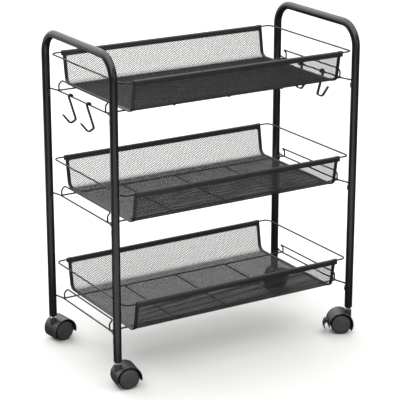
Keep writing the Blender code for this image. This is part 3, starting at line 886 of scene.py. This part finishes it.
def buildWheel(corner, side, hub):
    body = "wheel_%s_%s" % (corner, side)
    away = centreOf(body) - hub
    away.z = 0
    place = Matrix.Translation(hub) @ away.to_track_quat("Z", "Y").to_matrix().to_4x4()
    # The tread's near-black colour is painted shade for the gap under the hood's lip; the disc keeps the
    # plastic's grey.
    for kind, profile, material, sharp in (("wheelDisc", wheelDisc, discPolypropylene, sharpAngle),
                                           ("wheelTread", wheelTread, treadPaintedShade, 50)):
        parts = moved(turnedParts([(r * mm, h * mm) for r, h in profile], 72), place)
        name = "%s_%s_%s" % (kind, corner, side)
        addPiece(name, solidFrom(kind, parts, sharp), material, body, [body])


lever = {  # arcs about the pin, in the caster's X and Z: centre, radius, first and last angle in degrees
    "padOuter": ((-9.7 * mm, -7.0 * mm), 17.0 * mm, 40, -37),
    "padInner": ((-16.7 * mm, -8.0 * mm), 21.1 * mm, -26, 32),
    "cheek": ((-13.2 * mm, -7.5 * mm), 19.0 * mm, 28, -5), "cheekEnd": 1.2 * mm,
    "padHalf": 5.5 * mm, "cheekHalf": 0.9 * mm, "cheekOut": 4.0 * mm,
    "pinRadius": 1.1 * mm, "pinLength": 9.4 * mm,
}


def buildLever(corner, local, trail):
    # A curved pedal behind the hood: two cheeks carry it on a pin through the hood's ear.
    size, end = lever, lever["cheekEnd"]
    pad = arcPoints(*size["padOuter"], 26) + arcPoints(*size["padInner"], 26)
    cheek = plateParts(arcPoints(*size["cheek"], 10) + [(-end, -end), (-end, end)], size["cheekHalf"])
    steps = [(solidFrom("cheek", moved(cheek, Matrix.Translation((0, side * size["cheekOut"], 0)))), "UNION")
             for side in (-1, 1)]
    steps.append((solidFrom("pin", crossRod((0, 0, 0), size["pinRadius"], size["pinLength"], 20)), "UNION"))
    name = "brakeLever_" + corner
    mesh = afterBooleans(name, solidFrom("pad", plateParts(pad[::-1], size["padHalf"])), steps)
    mesh.transform(local @ Matrix.Translation(earPlace(trail)))
    addPiece(name, mesh, hoodNylon, "brake_" + corner, ["brake_lever_" + corner])


stem = {
    "radius": 3.5 * mm, "top": 73.5 * mm, "low": 34.5 * mm,
    "grooves": (66 * mm, 63.5 * mm), "grooveHalf": 0.5 * mm, "grooveDeep": 0.4 * mm,  # grips inside the plug
    "collarLow": 45.4 * mm, "collarHigh": 1.4 * mm, "collarOut": 1.7 * mm,
}
plug = {
    "floor": 50 * mm, "top": 24 * mm, "inner": 6.0 * mm, "bore": 3.8 * mm, "outer": 7.5 * mm,
    "lip": 3.2 * mm, "round": 1.7 * mm, "roundOut": 1.6 * mm,
}


def stemProfile():
    radius, top, low, collarLow = stem["radius"], stem["top"], stem["low"], stem["collarLow"]
    high, out = stem["collarHigh"], stem["collarOut"]
    half, deep = stem["grooveHalf"], stem["grooveDeep"]
    profile = [(0, top), (radius - 1.2 * mm, top), (radius - 0.8 * mm, top - 0.2 * mm),
               (radius, top - 1.3 * mm)]
    for groove in stem["grooves"]:
        profile += [(radius, groove + half), (radius - deep, groove), (radius, groove - half)]
    profile += [(radius, collarLow + high), (radius + out - 0.35 * mm, collarLow + high),
                (radius + out, collarLow + high - 0.3 * mm), (radius + out, collarLow + 0.3 * mm),
                (radius + out - 0.3 * mm, collarLow), (radius, collarLow)]
    return profile + [(radius, low + 0.5 * mm), (radius - 0.5 * mm, low), (0, low)]


def plugProfile():
    # A sleeve inside the leg, with a lip as wide as the tube that rounds in under it.
    size, top = plug, plug["top"]
    inner, bore, outer, lip, low = size["inner"], size["bore"], size["outer"], size["lip"], size["round"]
    profile = [(inner - 0.8 * mm, top), (inner, top - 1.2 * mm), (inner, lip), (outer - 0.25 * mm, lip),
               (outer, lip - 0.25 * mm), (outer, low)]
    profile += [(outer - size["roundOut"] * (1 - math.cos(a)), low - low * math.sin(a))
                for a in angles(math.pi / 2, 5)[1:]]
    return profile + [(bore + 0.3 * mm, 0.0), (bore, 0.3 * mm), (bore, top)]


def buildCaster(corner):
    hub, swivel = centreOf("caster_axle_" + corner), centreOf("caster_stem_" + corner)
    reach = hub - swivel
    trail = math.hypot(reach.x, reach.y)
    foot = Matrix.Translation((swivel.x, swivel.y, 0))
    turn = Matrix.Rotation(math.atan2(reach.y, reach.x), 4, "Z")
    buildHood(corner, foot @ turn, trail)
    for side in ("inner", "outer"):
        buildWheel(corner, side, hub)
    if corner in lockingCorners:
        buildLever(corner, foot @ turn, trail)
    body = "caster_" + corner
    mesh = solidFrom("casterStem", moved(turnedParts(stemProfile(), 40), foot))
    addPiece("casterStem_" + corner, mesh, zincPlate, body, ["caster_stem_" + corner])
    axle = cylinderParts(caster["axleRadius"], caster["axleLength"], 28, caster["axleEase"])
    mesh = solidFrom("casterAxle", moved(axle, Matrix.Translation(hub) @ turn @ alongY))
    addPiece("casterAxle_" + corner, mesh, zincPlate, body, ["caster_axle_" + corner])
    place = foot @ Matrix.Translation((0, 0, plug["floor"]))
    mesh = solidFrom("legPlug", moved(turnedParts(plugProfile(), 48), place))
    addPiece("legPlug_" + corner, mesh, mouldedNylon, "cart_frame", ["leg_plug_" + corner])


for corner in corners:
    buildCaster(corner)
print("casters built")


stageLook = {"colour": "#c9c9c7", "radius": 9.0, "cove": 3.0, "wallHeight": 8.0}


def buildStage():
    size = stageLook
    profile = [(0.0, 0.0), (2.0, 0.0), (size["radius"] - size["cove"], 0.0)]
    profile += [(size["radius"] - size["cove"] + size["cove"] * math.sin(a), size["cove"] * (1 - math.cos(a)))
                for a in angles(math.pi / 2, 12)[1:]]
    profile.append((size["radius"], size["wallHeight"]))
    mesh = meshFrom("studioFloor", turnedParts(profile, 64), 60)
    stage = placed("studioFloor", mesh)
    # Matt painted board: pale and even, so that only the soft contact shadows show on it.
    paint = bpy.data.materials.new("mattPaintedBoard")
    paint.use_nodes = True
    shader = paint.node_tree.nodes["Principled BSDF"]
    shader.inputs["Base Color"].default_value = srgb(size["colour"])
    shader.inputs["Roughness"].default_value = 0.9
    mesh.materials.append(paint)
    stage.visible_glossy = False  # the black tubes keep dark edges, as between black flags


# Soft boxes, in metres. The wide one behind is what the tubes along Y mirror.
lights = {  # place, the point it faces, width, height and radiance
    "top": ((0.3, 0.6, 4.5), (0.3, 0.6, 0), 10.0, 10.0, 2.9),
    "key": ((-3.2, -3.4, 2.6), (0, 0, 0.3), 1.8, 1.8, 5.0),
    "front": ((0.6, -4.6, 1.6), (0, 0, 0.3), 2.6, 1.6, 2.0),
    "frontRight": ((2.3, -4.1, 0.7), (0, 0, 0.4), 1.8, 1.0, 1.6),
    "right": ((4.2, -0.6, 2.4), (0, 0, 0.3), 1.6, 2.0, 1.5),
    "back": ((-0.6, 4.5, 1.9), (0, 0, 0.4), 7.4, 3.8, 1.9),
}
# White boards on the floor, which only the coating mirrors: in front of the cart, and behind it on the left.
floorCards = {  # place, width across the view, length along it and radiance
    "floorFront": ((-0.806, -1.324), 1.7, 2.3, 1.35),
    "floorBehind": ((-1.0, 1.25), 1.0, 1.4, 1.0),
}


def addSoftbox(name, place, target, width, height, radiance):
    data = bpy.data.lights.new(name, "AREA")
    data.shape = "RECTANGLE"
    data.size, data.size_y = width, height
    data.energy = radiance * math.pi * width * height
    light = placed(name, data)
    light.location = place
    light.rotation_euler = (Vector(target) - Vector(place)).to_track_quat("-Z", "Y").to_euler()
    light.visible_camera = False
    return light


def buildLights():
    for name, (place, target, width, height, radiance) in lights.items():
        addSoftbox(name, place, target, width, height, radiance)
    for name, ((x, y), width, length, radiance) in floorCards.items():
        card = addSoftbox(name, (x, y, 1 * mm), (x, y, 1), width, length, radiance)
        card.rotation_euler = (math.pi, 0, math.radians(-view["yaw"]))
        card.visible_diffuse = False
    world = bpy.data.worlds.new("studio")
    bpy.context.scene.world = world
    world.use_nodes = True
    world.node_tree.nodes["Background"].inputs["Color"].default_value = srgb("#f2f4f6")
    world.node_tree.nodes["Background"].inputs["Strength"].default_value = 0.06


# Metres from the cart's foot, degrees, and mm on a sensor 36 mm wide.
view = {"place": (-1.5374, -2.5204, 1.235), "yaw": 31.32, "pitch": 17.98, "lens": 147.2}


def buildCamera():
    yaw, pitch = math.radians(view["yaw"]), math.radians(view["pitch"])
    ahead = Vector((math.sin(yaw) * math.cos(pitch), math.cos(yaw) * math.cos(pitch), -math.sin(pitch)))
    camera = placed("camera", bpy.data.cameras.new("camera"))
    camera.location = atCart(*view["place"])
    camera.rotation_euler = ahead.to_track_quat("-Z", "Y").to_euler()
    camera.data.lens = view["lens"]
    camera.data.sensor_width = 36
    camera.data.clip_end = 100
    bpy.context.scene.camera = camera


bpy.context.scene.view_settings.view_transform = "Standard"  # a white studio floor stays white
buildStage()
buildLights()
buildCamera()
print("stage, lights and camera placed")
